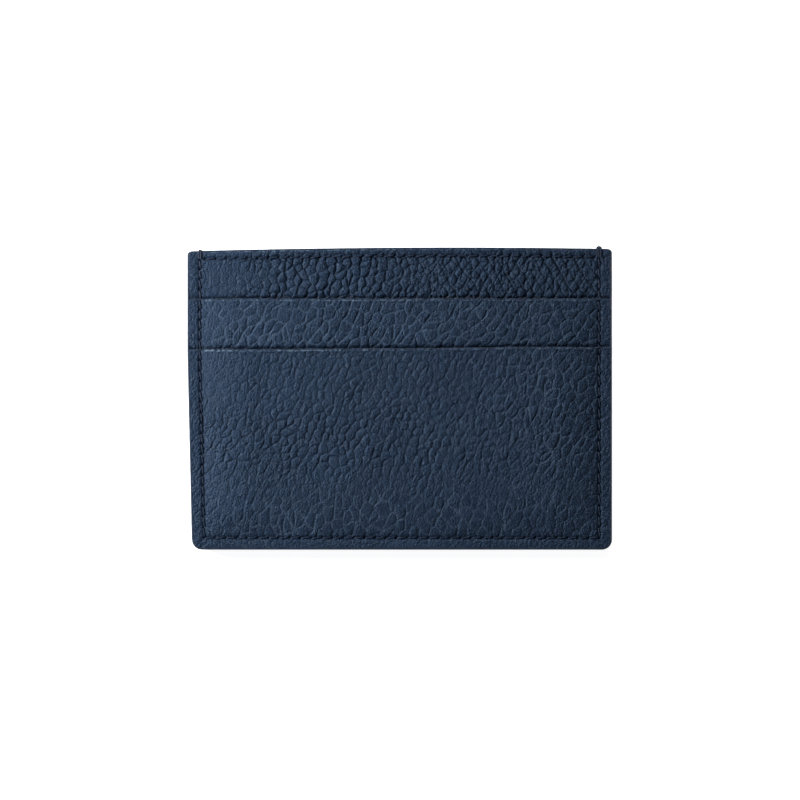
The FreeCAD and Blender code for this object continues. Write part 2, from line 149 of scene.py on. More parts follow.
def pebbles(x, y, wide, long, degrees, seed, jitter=0.40, swirl=24.0):
    """Cells of leather grain, longer along one direction.

    Gives the distance to the cell's border in units of its width, how much that border runs along the cell,
    a random number per cell, and the height of the cell's own random tilt in units of its width.
    """
    for bend, cell in ((0.24, 2.6), (0.08, 0.8)):
        x = x + bend * wide * noise(x, y, cell * wide, seed + 5)
        y = y + bend * wide * noise(x, y, cell * wide, seed + 6)
    along, across = turned(x, y, degrees)
    u, v = along / long, across / wide
    iu, iv = np.floor(u).astype(int), np.floor(v).astype(int)
    rng = np.random.default_rng(seed)
    size = 128
    place = rng.uniform(-jitter, jitter, (size, size, 2))
    turn = np.radians(rng.uniform(-swirl, swirl, (size, size)))
    grow = rng.uniform(0.84, 1.18, (size, size))
    tone = rng.uniform(-1, 1, (size, size))
    slope = rng.uniform(-1, 1, (size, size, 2))
    zero = np.zeros(x.shape)
    best, second = np.full(x.shape, 9.0), np.full(x.shape, 9.0)
    best_at, second_at = (zero, zero), (zero, zero)
    cell_tone, cell_tilt = zero, zero
    for di in range(-2, 3):
        for dj in range(-2, 3):
            ci, cj = iu + di, iv + dj
            ki, kj = ci % size, cj % size
            # Every other row of cells is shifted by half a cell, like bricks.
            at_u = (ci + 0.5 + place[ki, kj, 0] + 0.5 * (cj % 2)) * long
            at_v = (cj + 0.5 + place[ki, kj, 1]) * wide
            at = (at_u, at_v)
            du, dv = along - at_u, across - at_v
            c, s = np.cos(turn[ki, kj]), np.sin(turn[ki, kj])
            d = np.hypot((du * c + dv * s) / long, (-du * s + dv * c) / wide) * grow[ki, kj]
            nearer = d < best
            next_best = ~nearer & (d < second)
            second_at = [
                np.where(nearer, best_k, np.where(next_best, at_k, second_k))
                for best_k, at_k, second_k in zip(best_at, at, second_at)
            ]
            second = np.where(nearer, best, np.minimum(second, d))
            best_at = [np.where(nearer, a, b) for a, b in zip(at, best_at)]
            cell_tone = np.where(nearer, tone[ki, kj], cell_tone)
            tilt = (slope[ki, kj, 0] * du + slope[ki, kj, 1] * dv) / wide
            cell_tilt = np.where(nearer, tilt, cell_tilt)
            best = np.where(nearer, d, best)
    gap_u, gap_v = second_at[0] - best_at[0], second_at[1] - best_at[1]
    lengthwise = gap_v**2 / (gap_u**2 + gap_v**2 + 1e-9)
    return (second - best) / 2, lengthwise, cell_tone, cell_tilt


def diamonds(x, y, wide, lean, seed):
    """Cells between two crossing families of wandering lines that lean to either side of upright.

    Gives the same as pebbles: distance to the border, how lengthwise it is, a number per cell and its tilt.
    """
    rng = np.random.default_rng(seed)
    size = 64
    tone = rng.uniform(-1, 1, (size, size))
    slope = rng.uniform(-1, 1, (size, size, 2))
    border = np.full(x.shape, 9.0)
    numbers, places = [], []
    for k, degrees in enumerate((90 - lean, 90 + lean)):
        across = turned(x, y, degrees)[1]
        bend = 0.34 * noise(x, y, 2.4 * wide, seed + k) + 0.10 * noise(x, y, 0.8 * wide, seed + 7 + k)
        phase = across / wide + bend
        border = np.minimum(border, np.abs(phase - np.round(phase)) + 0.02 * (1 - k))
        numbers.append(np.floor(phase).astype(int) % size)
        places.append(phase - np.floor(phase) - 0.5)
    number = tuple(numbers)
    tilt = slope[number][..., 0] * places[0] + slope[number][..., 1] * places[1]
    return border, np.full(x.shape, 0.8), tone[number], tilt


def pebble_relief(x, y, layer):
    """One layer of grain: its height from -1, in a crease, to about 0, on a cell; its painted shade; its
    painted highlight.
    """
    wide = layer["wide"]
    seed = layer["seed"]
    if "lean" in layer:
        border, lengthwise, tone, tilt = diamonds(x, y, wide, layer["lean"], seed)
    else:
        border, lengthwise, tone, tilt = pebbles(x, y, wide, layer["long"], layer["degrees"], seed)
    border = border * wide
    strength = (0.7 + 0.3 * lengthwise) * (0.8 + 0.3 * noise(x, y, 2.2, seed + 41))
    crease = np.exp(-((border / 0.12) ** 2)) * strength
    shoulder = np.clip(1.0 - border / (layer.get("round", 0.45) * wide), 0, 1) ** 2
    on_cell = smooth(border / (0.22 * wide))
    height = -0.34 * crease - 0.66 * shoulder * strength + (0.14 * tone + 0.26 * tilt) * on_cell
    if layer.get("rubbed"):
        # Where the leather is pulled flat, the borders of the cells get a pale painted highlight and only a
        # little painted shade.
        return height, 0.15 * crease, 1.5 * np.exp(-((border / 0.17) ** 2)) * strength
    # Elsewhere a crease gets painted shade, and the cells' shoulders beside it get a little painted highlight.
    return height, crease, 0.6 * np.exp(-(((border - 0.24) / 0.13) ** 2)) * strength


def creases(x, y, wide, stretch, degrees, seed):
    """Long wandering creases along a direction: 1 in the crease, 0 away from it."""
    x = x + 0.8 * noise(x, y, 4.0, seed + 3)
    along, across = turned(x, y, degrees)
    along = along / stretch
    field = noise(along, across, wide, seed) + 0.35 * noise(along, across, wide / 2, seed + 1)
    return np.exp(-((field / 0.10) ** 2))


# ---------------------------------------------------------------- the holder's outline and levels


def left_at(y):
    """X of the left side. It leans inward below the knee."""
    return -HALF_WIDTH + LEAN * np.clip(1 - y / KNEE, 0, 1)


def top_at(x):
    """Height of the top edge, a flat bow."""
    t = (x + HALF_WIDTH) / (2 * HALF_WIDTH)
    ends = TOP_LEFT + (TOP_RIGHT - TOP_LEFT) * t
    return ends + (HEIGHT - (TOP_LEFT + TOP_RIGHT) / 2) * 4 * t * (1 - t)


def upper_mouth_at(x):
    """Height of the upper slot's edge, a little uneven."""
    return UPPER_MOUTH + 0.10 * wander(x, 21.0, 71) + 0.07 * wander(x, 2.2, 72) + 0.04 * wander(x, 0.9, 75)


def lower_mouth_at(x):
    """Height of the lower slot's edge, which climbs to the right and is a little uneven."""
    t = (x + HALF_WIDTH) / (2 * HALF_WIDTH)
    uneven = 0.09 * wander(x, 18.0, 73) + 0.07 * wander(x, 2.0, 74) + 0.04 * wander(x, 0.9, 76)
    return MOUTH_LEFT + (MOUTH_RIGHT - MOUTH_LEFT) * t + uneven


def side_distances(x, y):
    """Distances in from the left, right and bottom edges."""
    return x - left_at(y), HALF_WIDTH - x, y


def rim_distance(x, y):
    """Distance in from the painted outline's left, bottom and right, round its corners."""
    left, right, low = side_distances(x, y)
    side = np.minimum(left, right)
    r = LOW_CORNER
    in_corner = (side < r) & (low < r)
    return np.where(in_corner, r - np.hypot(r - side, r - low), np.minimum(side, low))


def corner_drop(inward, radius, coat=0.0):
    """How far a sheet's edge, inside its coat of paint, falls back in a corner of the outline."""
    arc = np.sqrt(np.maximum(0, (radius - coat) ** 2 - (radius - inward) ** 2))
    return np.where(inward < radius, radius - arc - coat, 0)


def rise(x, y):
    """How far a sheet has risen from the seam's level, 0, to the level of the middle, 1."""
    left, right, low = side_distances(x, y)

    def flank(distance, reach, start=3.3, end=13.6):
        full = 1 - math.exp(-(end - start) / reach)
        return np.clip((1 - np.exp(-np.maximum(distance - start, 0) / reach)) / full, 0, 1)

    return flank(left, 5.0) * flank(right, 5.0) * flank(low, 5.6)


def level(x, y, seam, field):
    """Height of a face that is at one level in the seam and at another in the middle."""
    return seam + (field - seam) * rise(x, y)


# ---------------------------------------------------------------- seams


def spaced(start, end):
    """Evenly spaced holes on a straight line, both ends included."""
    start, end = np.array(start, float), np.array(end, float)
    count = max(1, round(float(np.linalg.norm(end - start)) / PITCH))
    return [start + (end - start) * (i / count) for i in range(count + 1)]


def perimeter_holes():
    """Needle holes of the seam down the left, along the bottom and up the right."""
    low = STITCH_LOW
    route = [
        (left_at(TOP_LEFT) + STITCH_SIDE, TOP_LEFT - STITCH_TOP),
        (left_at(KNEE) + STITCH_SIDE, KNEE),
        (left_at(low) + STITCH_SIDE, low),
        (HALF_WIDTH - STITCH_SIDE, low),
        (HALF_WIDTH - STITCH_SIDE, TOP_RIGHT - STITCH_TOP),
    ]
    holes = []
    for start, end in zip(route, route[1:]):
        holes += spaced(start, end)[: -1 if end is not route[-1] else None]
    return np.array(holes)


def hem_holes():
    """Needle holes of the row below the top edge."""
    start = left_at(TOP_LEFT) + STITCH_SIDE + PITCH / 2
    end = HALF_WIDTH - STITCH_SIDE - PITCH / 2
    count = round((end - start) / PITCH)
    x = np.linspace(start, end, count + 1)
    return np.stack([x, top_at(x) - STITCH_TOP], 1)


def groove(x, y, holes, reach=1.2):
    """Distance to a row's line, and distance to its nearest hole, for points near it; 9 elsewhere."""
    line = np.full(x.shape, 9.0)
    hole = np.full(x.shape, 9.0)
    for a, b in zip(holes, holes[1:]):
        low, high = np.minimum(a, b) - reach, np.maximum(a, b) + reach
        near = np.nonzero((x > low[0]) & (x < high[0]) & (y > low[1]) & (y < high[1]))
        if not len(near[0]):
            continue
        px, py = x[near], y[near]
        run = b - a
        t = np.clip(((px - a[0]) * run[0] + (py - a[1]) * run[1]) / (run @ run), 0, 1)
        line[near] = np.minimum(line[near], np.hypot(px - a[0] - t * run[0], py - a[1] - t * run[1]))
        ends = np.minimum(np.hypot(px - a[0], py - a[1]), np.hypot(px - b[0], py - b[1]))
        hole[near] = np.minimum(hole[near], ends)
    return line, hole


PERIMETER = perimeter_holes()
HEM = hem_holes()


def seam_relief(x, y, holes, depth):
    """How far thread pulls the leather down along a row, how shaded it is there, and where its flanks are."""
    line, hole = groove(x, y, holes)
    trough = np.exp(-((line / 0.38) ** 2))
    pit = np.exp(-((hole / 0.34) ** 2))
    flank = np.exp(-(((line - 0.52) / 0.20) ** 2))
    pit_depth = 0.24
    return -depth * trough - pit_depth * pit, np.maximum(0.60 * trough, 1.4 * pit), flank


# ---------------------------------------------------------------- outer faces


# Each sheet's grain is a list of layers: how the cells are, and how deep their creases go in millimetres.


def lower_pocket_layers(x, y):
    """Fine in its upper middle, longer at the right and long and upright towards the bottom, where the cells'
    borders get painted highlights.
    """
    low = ramp(y, 24, 8)
    right = ramp(x, -5, 40)
    calm = ramp(x, -26, -46) * ramp(y, 22, 46)
    fine_share = (1 - low) * (1 - 0.75 * right)
    fine_depth = (0.30 + 0.10 * ramp(y, 38, 28)) * fine_share * (1 - 0.5 * calm)
    return [
        (dict(wide=1.8, long=2.3, degrees=68, seed=11), fine_depth),
        (dict(wide=1.9, long=3.0, degrees=68, seed=12, round=0.26, rubbed=True), 0.33 * right * (1 - low)),
        (dict(wide=2.1, long=3.5, degrees=82, seed=13, round=0.28, rubbed=True), 0.25 * low),
    ]


def upper_pocket_layers(x, y):
    """Large slanting cells with painted highlights on their borders, calmer at the left end."""
    calm = ramp(x, -34, -47)
    return [
        (dict(wide=2.1, long=3.1, degrees=58, seed=21, round=0.26, rubbed=True), 0.33 * (1 - 0.4 * calm)),
        (dict(wide=1.4, long=2.0, degrees=62, seed=22, round=0.30), 0.08 * (1 - calm)),
    ]


def body_panel_layers(x, y):
    """Small deep cells, calmer at the left end and crossed by creases that lean both ways at the right."""
    calm = ramp(x, -26, -42)
    right = ramp(x, -8, 18)
    fading = right * (1 - 0.2 * ramp(x, 34, 46))
    return [
        (dict(wide=1.9, long=2.2, degrees=85, seed=31), 0.66 * (1 - right) * (1 - 0.75 * calm)),
        (dict(wide=1.9, long=2.5, degrees=92, seed=33, round=0.34), 0.45 * fading),
        (dict(wide=2.0, lean=30, seed=32, round=0.30), 0.40 * fading),
    ]


FULL_DEPTH = 0.30  # a layer with creases this deep is fully shaded, in mm


def grain(x, y, layers, seed):
    """Relief of the leather's face, and its painted shade: up to 1 in a crease, below 0 where a highlight is
    painted paler.
    """
    relief = np.zeros(x.shape)
    dark = np.zeros(x.shape)
    pale = np.zeros(x.shape)
    for layer, depth in layers:
        height, crease, border_highlight = pebble_relief(x, y, layer)
        relief += depth * height
        dark = np.maximum(dark, crease * np.minimum(depth / FULL_DEPTH, 1.4))
        pale = np.maximum(pale, border_highlight * np.minimum(depth / FULL_DEPTH, 1))
    # Long wandering creases, with painted shade in them.
    streak = creases(x, y, 2.6, 2.4, 64, seed) * ramp(noise(x, y, 9.0, seed + 9), -0.3, 0.5)
    relief -= 0.03 * streak
    dark = np.maximum(dark, 0.4 * streak)
    # Smaller wrinkles cover the cells, more in some places than in others, with painted shade in their creases.
    wrinkled = 0.45 + 0.55 * ramp(noise(x, y, 5.0, seed + 22), -0.7, 0.5)
    height, crease, _ = pebble_relief(x, y, dict(wide=0.80, long=0.95, degrees=80, seed=seed + 25))
    relief += 0.078 * wrinkled * height
    dark = np.maximum(dark, 0.40 * wrinkled * crease)
    relief += 0.022 * wrinkled * fractal(x, y, 0.55, seed + 20, 2)
    relief += 0.05 * (noise(x, y, 17.0, seed + 30) - 1)
    return relief, np.clip(dark, 0, 1) - 0.80 * np.clip(pale * (1 - dark), 0, 1.3)


def shaded(dark, amount):
    """dark, made at least as dark as amount wherever there is an amount."""
    return dark + (np.maximum(dark, amount) - dark) * np.clip(amount / 0.2, 0, 1)


def rolled(distance, reach, drop):
    """How far an edge rolls down: drop at the edge, nothing past its reach."""
    return -drop * np.clip(1 - distance / reach, 0, 1) ** 2


def under_slot(x, y, slot_at, seed):
    """The dark crevice above the edge of the sheet in front, and the sag of this sheet beside it."""
    above = np.maximum(y - slot_at(x), 0)
    ragged = 1.05 + 0.35 * wander(x, 1.3, seed) + 0.25 * wander(x, 0.6, seed + 1)
    return np.exp(-(above / (0.50 * ragged)) ** 2), np.exp(-(above / 1.3) ** 2)


def outer_face(x, y, seam, field, layers, seed, rows, mouth, slot_at=None, calm_mouth=1.1):
    """Height of a sheet's outer face, and its shade.

    The painted shade is 0 on plain leather, 1 deep in a crease, up to 2 in a seam or a slot, and below 0 where
    a highlight is painted paler. slot_at is the edge of the sheet that covers this one.
    """
    relief, dark = grain(x, y, layers(x, y), seed)
    rim = rim_distance(x, y)
    below_mouth = mouth(x) - y
    # Outside the seam the leather is pressed flatter, and its wrinkles are small; their creases get painted
    # shade, and the grain's painted shade is halved.
    pressed, crease, _ = pebble_relief(x, y, dict(wide=1.2, long=1.5, degrees=50, seed=seed + 60))
    inside = ramp(rim, 2.3, 3.6)
    relief = relief * (0.35 + 0.65 * inside) + 0.12 * pressed * (1 - inside)
    relief *= ramp(rim, 0.3, 0.9) * (0.15 + 0.85 * ramp(below_mouth, 0.3, calm_mouth))
    dark = dark * (0.5 + 0.5 * inside) + 0.4 * crease * (1 - inside)
    height = level(x, y, seam, field) + relief
    # The rim outside the seam swells a little, and every edge rolls down.
    height += 0.07 * np.sin(np.pi * np.clip(rim / 2.9, 0, 1)) * (rim < 2.9)
    height += rolled(rim - COAT, 0.7, 0.22)
    height += rolled(below_mouth - COAT, 0.50, 0.14)
    # A sheet's folded or cut edge gets a painted highlight in small raised spots, full at the left and half as
    # strong at the right, and little painted shade.
    lip = ramp(below_mouth - COAT, 0.62, 0.18) * ramp(rim, 2.6, 4.0)
    rubbed = ramp(noise(x, y, 0.45, seed + 70) + 0.5 * noise(x, y, 2.4, seed + 71), -0.3, 0.8)
    height += 0.035 * lip * rubbed
    dark = dark * (1 - 0.8 * lip) - lip * (0.25 + 1.75 * rubbed) * (1 - 0.5 * ramp(x, -20, 30))
    # Thread presses a groove, with painted shade in it and its holes, and towards the right a painted highlight
    # in specks beside it.
    seam_highlight_specks = ramp(noise(x, y, 0.42, seed + 80) + 0.5 * noise(x, y, 1.8, seed + 81), -0.1, 0.9)
    for holes, depth in rows:
        sunk, mark, flank = seam_relief(x, y, holes, depth)
        height += sunk
        dark = shaded(dark, mark) - 0.75 * flank * seam_highlight_specks * (mark < 0.6) * ramp(x, -20, 20)
    if slot_at is not None:
        crevice, sag = under_slot(x, y, slot_at, seed + 50)
        height -= (0.34 * crevice + 0.14 * sag) * (0.4 + 0.6 * rise(x, y))
        # Painted shade in the crevice above the edge of the sheet in front.
        dark = shaded(dark, 1.6 * crevice)
    return height, dark


# ---------------------------------------------------------------- meshes


def to_row(points, side):
    """Bench millimetres to the row's metres. side is 1 for the front and -1 for the back."""
    x, y, z = np.moveaxis(np.asarray(points, float), -1, 0)
    return np.stack([x * MM, (y - HALF_HEIGHT) * MM, (side * z + HALF_DEPTH) * MM], -1)


def make_object(name, points, faces, side, node, dark=None):
    """A mesh piece that rides on the holder's one body and stands for a CAD node, shaded by dark if given."""
    mesh = bpy.data.meshes.new(name)
    faces = [tuple(f) for f in faces]
    if side < 0:
        faces = [f[::-1] for f in faces]
    mesh.from_pydata(to_row(points, side).reshape(-1, 3).tolist(), [], faces)
    mesh.polygons.foreach_set("use_smooth", np.ones(len(mesh.polygons), bool))
    if dark is not None:
        # The crease attribute holds painted shade above 0 and painted highlight below 0.
        attribute = mesh.attributes.new("crease", "FLOAT", "POINT")
        attribute.data.foreach_set("value", np.asarray(dark, np.float32).ravel())
    mesh.validate()
    mesh.update()
    thing = bpy.data.objects.new(name, mesh)
    bpy.context.scene.collection.objects.link(thing)
    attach(thing, "root")
    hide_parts(node)
    return thing


def edge_steps(length, spacing, dense_start, dense_end, block):
    """Positions from 0 to length: close together at dense ends, spacing elsewhere, in whole blocks."""
    dense = [0.0, 0.06, 0.14, 0.25, 0.40]
    start = dense if dense_start else [0.0]
    end = dense[::-1] if dense_end else [0.0]
    middle = length - start[-1] - end[0]
    count = max(1, round(middle / spacing))
    count += -(len(start) + len(end) - 2 + count) % block
    inner = start[-1] + middle * np.arange(1, count) / count
    return np.concatenate([start, inner, length - np.array(end)])


def grid_faces(index):
    """Quads of a grid of vertex numbers."""
    a, b, c, d = index[:-1, :-1], index[:-1, 1:], index[1:, 1:], index[1:, :-1]
    return [tuple(quad) for quad in np.stack([a, b, c, d], -1).reshape(-1, 4)]


def loop_of(index):
    """The grid's border vertices, in order round it."""
    return np.concatenate([index[0, :-1], index[:-1, -1], index[-1, :0:-1], index[:0:-1, 0]])


def under_faces(index, block):
    """The inner face: blocks of the grid, with every border vertex kept so that the wall closes."""
    faces = []
    rows, columns = index.shape
    for j in range(0, rows - 1, block):
        for i in range(0, columns - 1, block):
            above, beyond = j + block, i + block
            low = index[j, i : beyond + 1] if j == 0 else index[j, [i, beyond]]
            high = index[above, i : beyond + 1] if above == rows - 1 else index[above, [i, beyond]]
            left = index[j + 1 : above, i] if i == 0 else index[:0, i]
            right = index[j + 1 : above, beyond] if beyond == columns - 1 else index[:0, i]
            faces.append(tuple(np.concatenate([low, right, high[::-1], left[::-1]])[::-1]))
    return faces


def coarse_index(index, block, start):
    """Numbers for the inner face's vertices, only those it uses, and the grid points that they lie under."""
    used = np.zeros(index.shape, bool)
    used[::block, ::block] = True
    used[0, :] = used[-1, :] = True
    used[:, 0] = used[:, -1] = True
    numbers = np.full(index.shape, -1)
    numbers[used] = start + np.arange(used.sum())
    return numbers, index[used]


def row_steps(covered, reach, spacing, block):
    """Heights of a sheet's rows above its lower edge: far apart where another sheet covers it, then fine."""
    if covered <= 0:
        return edge_steps(reach, spacing, True, True, block)
    hidden = np.linspace(0, covered, block * max(1, round(covered / 4.0)) + 1)[:-1]
    return np.concatenate([hidden, covered + edge_steps(reach - covered, spacing, False, True, block)])


def sheet_grid(low, mouth, rows, columns, round_top):
    """X and y of a sheet's grid. Rows end at the rounded corners, and the last row follows the mouth."""
    flat_y = low + rows
    inset = COAT + corner_drop(flat_y, LOW_CORNER, COAT)
    left = left_at(flat_y) + inset
    right = HALF_WIDTH - inset
    x = left[:, None] + (right - left)[:, None] * (columns / columns[-1])
    bend, corner_bend = 6.0, 1.6
    top = flat_y[-1]
    flat_y = flat_y[:, None]
    y = flat_y + smooth((flat_y - (top - bend)) / bend) * (mouth(x) - COAT - top)
    if round_top:
        side_in = np.minimum(x - left_at(y), HALF_WIDTH - x)
        y = y - corner_drop(side_in, TOP_CORNER, COAT) * smooth((flat_y - (top - corner_bend)) / corner_bend)
    return x, y


def sheet_mesh(name, node, side, low, mouth, outer, inner, fine_from, spacing=0.165, block=6):
    """A leather sheet: a fine outer face, a coarse inner face and the wall between them.

    low and mouth give its bottom and top edge. Rows are fine above fine_from, and coarse where another sheet
    covers it.
    """
    columns = edge_steps(2 * (HALF_WIDTH - COAT), spacing, True, True, block)
    reach = float(np.min(mouth(np.linspace(-HALF_WIDTH, HALF_WIDTH, 50)))) - low
    rows = row_steps(fine_from - low, reach, spacing, block)
    x, y = sheet_grid(low, mouth, rows, columns, round_top=mouth is top_at)
    height, dark = outer(x, y)
    thinnest = 0.12
    top = np.stack([x, y, height], -1)
    bottom = np.stack([x, y, np.minimum(inner(x, y), height - thinnest)], -1)
    index = np.arange(x.size).reshape(x.shape)
    under, order = coarse_index(index, block, x.size)
    points = np.concatenate([top.reshape(-1, 3), bottom.reshape(-1, 3)[order]])
    marks = np.concatenate([dark.ravel(), np.zeros(len(order))])
    upper, lower = loop_of(index), loop_of(under)
    wall = list(zip(np.roll(upper, -1), upper, lower, np.roll(lower, -1)))
    faces = grid_faces(index) + under_faces(under, block) + wall
    return make_object(name, points, faces, side, node, marks)


# ---------------------------------------------------------------- leather sheets


def lower_pocket_face(x, y):
    rows = [(PERIMETER, 0.22)]
    return outer_face(x, y, POCKET_SEAM, POCKET_OUT, lower_pocket_layers, 110, rows, lower_mouth_at)


def upper_pocket_face(x, y):
    rows = [(PERIMETER, 0.22)]
    return outer_face(x, y, HEAD_SEAM, HEAD_OUT, upper_pocket_layers, 210, rows, upper_mouth_at, lower_mouth_at)


def body_panel_face(x, y):
    rows = [(PERIMETER, 0.20), (HEM, 0.16)]
    return outer_face(
        x, y, BODY_SEAM, BODY_OUT, body_panel_layers, 310, rows, top_at, upper_mouth_at, calm_mouth=2.6
    )


def build_leather(side, name):
    """The three leather sheets of one half."""

    def pocket_inner(x, y):
        over_head = level(x, y, HEAD_SEAM, POCKET_IN)
        return np.where(y > HEAD_LOW, over_head, level(x, y, BODY_SEAM, POCKET_IN))

    def head_inner(x, y):
        return level(x, y, BODY_SEAM, HEAD_IN)

    def body_inner(x, y):
        return level(x, y, LINING_SEAM, LINING_OUT)

    return [
        sheet_mesh(
            f"{name}_lower_pocket_leather", f"{name}_lower_pocket", side, COAT, lower_mouth_at,
            lower_pocket_face, pocket_inner, 0.0,
        ),
        sheet_mesh(
            f"{name}_upper_pocket_leather", f"{name}_upper_pocket", side, HEAD_LOW, upper_mouth_at,
            upper_pocket_face, head_inner, 46.5,
        ),
        sheet_mesh(
            f"{name}_body_panel_leather", f"{name}_body_panel", side, COAT, top_at,
            body_panel_face, body_inner, 58.0,
        ),
    ]


# ---------------------------------------------------------------- painted edges


def sweep(path, profile):
    """Points and faces of a closed profile swept along a path. profile(k) gives the k-th ring's points."""
    rings = [profile(k) for k in range(len(path))]
    points = np.concatenate(rings)
    index = np.arange(len(points)).reshape(len(rings), -1)
    wrapped = np.concatenate([index, index[:, :1]], 1)
    return points, grid_faces(wrapped) + [tuple(index[0]), tuple(index[-1][::-1])]


def rim_path():
    """Points and normals of the painted outline, from the top left corner down, round and up."""
    r, top = LOW_CORNER, TOP_CORNER
    points, normals = [], []

    def add(x, y, nx, ny):
        points.append((x, y))
        normals.append((nx, ny))

    def arc(x, y, radius, start, end, count):
        for a in np.radians(np.linspace(start, end, count)):
            add(x + radius * math.cos(a), y + radius * math.sin(a), math.cos(a), math.sin(a))

    arc(left_at(TOP_LEFT) + top, TOP_LEFT - top, top, 95, 180, 8)
    for y in np.arange(TOP_LEFT - top - 0.4, r, -0.4):
        add(left_at(y), y, -1, 0)
    arc(left_at(0.0) + r, r, r, 180, 270, 12)
    for x in np.arange(left_at(0.0) + r + 0.5, HALF_WIDTH - r, 0.5):
        add(x, 0.0, 0, -1)
    arc(HALF_WIDTH - r, r, r, 270, 360, 12)
    for y in np.arange(r + 0.4, TOP_RIGHT - top, 0.4):
        add(HALF_WIDTH, y, 1, 0)
    arc(HALF_WIDTH - top, TOP_RIGHT - top, top, 0, 85, 8)
    return np.array(points), np.array(normals)


def stack_level(x, y):
    """Height of the outermost sheet at the rim."""
    upper = ramp(y, UPPER_MOUTH + 0.15, UPPER_MOUTH - 0.15)
    lower = ramp(y, lower_mouth_at(x) + 0.15, lower_mouth_at(x) - 0.15)
    return BODY_SEAM + (HEAD_SEAM - BODY_SEAM) * upper + (POCKET_SEAM - HEAD_SEAM) * lower


def build_rim():
    """The painted bead round the sides and bottom, as high as the sheets, whose edges show faintly."""
    path, normals = rim_path()
    lip = 0.48
    inner_edge = lip + 0.02
    angle = np.linspace(math.pi / 2, -math.pi / 2, 15)

    def ring(k):
        (x, y), (nx, ny) = path[k], normals[k]
        high = float(stack_level(np.array(x), np.array(y)))
        wobble = 0.03 * float(noise(np.array(x), np.array(y), 3.0, 501))
        z = (high - 0.06) * np.sign(np.sin(angle)) * np.abs(np.sin(angle)) ** 0.75
        inset = (lip + wobble) * (1 - np.cos(angle) ** 0.55)
        # Faint dents where one sheet's edge meets the next.
        for dent in (0.0, BODY_SEAM, -BODY_SEAM):
            inset = inset + 0.05 * np.exp(-(((z - dent) / 0.12) ** 2)) * (high > BODY_SEAM + 0.1)
        outer = np.stack([x - nx * inset, y - ny * inset, z], 1)
        back_x, back_y, back_z = x - nx * inner_edge, y - ny * inner_edge, high - 0.25
        return np.concatenate([outer, [(back_x, back_y, -back_z), (back_x, back_y, back_z)]])

    points, faces = sweep(path, ring)
    return make_object("perimeter_edge_bead", points, faces, 1, "perimeter_edge_paint")


def evened(values, reach=6):
    """Values with their ups and downs averaged away over reach neighbours on each side."""
    padded = np.pad(values, reach, mode="edge")
    return np.convolve(padded, np.full(2 * reach + 1, 1 / (2 * reach + 1)), mode="valid")


def mouth_bead(name, node, side, mouth, outer, inner, crown=0.0):
    """A painted bead on a sheet's cut edge: a half round as thick as the sheet. crown rounds its two ends."""
    x = np.arange(-HALF_WIDTH + COAT, HALF_WIDTH - COAT + 1e-6, 0.4)
    x[-1] = HALF_WIDTH - COAT
    side_in = np.minimum(x + HALF_WIDTH, HALF_WIDTH - x)
    edge = mouth(x) - corner_drop(side_in, crown)
    # The sheet's thickness is taken a little below its edge, where it hasn't rolled down yet.
    high = evened(outer(x, edge - 0.45))
    low = inner(x, edge - 0.45)
    reach = 0.34 + 0.03 * wander(x, 2.5, 601)
    angle = np.linspace(math.pi / 2, -math.pi / 2, 9)

    def ring(k):
        middle, half = (high[k] + low[k]) / 2, (high[k] - low[k]) / 2 - 0.02
        y = edge[k] - reach[k] + reach[k] * np.cos(angle) ** 0.8
        z = middle + half * np.sin(angle)
        arc = np.stack([np.full(len(angle), x[k]), y, z], 1)
        back_y = edge[k] - reach[k] - 0.02
        return np.concatenate([arc, [(x[k], back_y, low[k] + 0.15), (x[k], back_y, high[k] - 0.15)]])

    points, faces = sweep(x, ring)
    return make_object(name, points, [face[::-1] for face in faces], side, node)


def build_mouth_beads(side, name):
    """The painted edges of one half: both slots and the top edge."""

    def on(face):
        return lambda x, y: face(x, y)[0]

    def between(seam, field):
        return lambda x, y: level(x, y, seam, field)

    beads = [
        ("lower_slot", lower_mouth_at, lower_pocket_face, between(HEAD_SEAM, POCKET_IN), 0.0),
        ("upper_slot", upper_mouth_at, upper_pocket_face, between(BODY_SEAM, HEAD_IN), 0.0),
        ("top", top_at, body_panel_face, between(0.02, 0.25), TOP_CORNER),
    ]
    return [
        mouth_bead(f"{name}_{edge}_bead", f"{name}_{edge}_edge_paint", side, mouth, on(face), inner, crown)
        for edge, mouth, face, inner, crown in beads
    ]


# ---------------------------------------------------------------- thread


def thread_tube(route, across, twist=5.5, around=9):
    """A three-ply thread along a flat route of points, with across the direction square to its plane."""
    ahead = np.gradient(route, axis=0)
    ahead /= np.linalg.norm(ahead, axis=1)[:, None]
    length = np.concatenate([[0], np.cumsum(np.linalg.norm(np.diff(route, axis=0), axis=1))])
    up_way = np.cross(across, ahead)
    angle = np.linspace(0, 2 * math.pi, around, endpoint=False)

    def ring(k):
        reach = THREAD / 2 * (1 + 0.13 * np.cos(3 * (angle - twist * length[k])))
        return route[k] + np.outer(reach * np.cos(angle), across) + np.outer(reach * np.sin(angle), up_way[k])

    return sweep(route, ring)


def level_across(route):
    """The level direction square to a stitch's run."""
    run = route[-1] - route[0]
    return np.array([run[1], -run[0], 0.0]) / math.hypot(run[0], run[1])


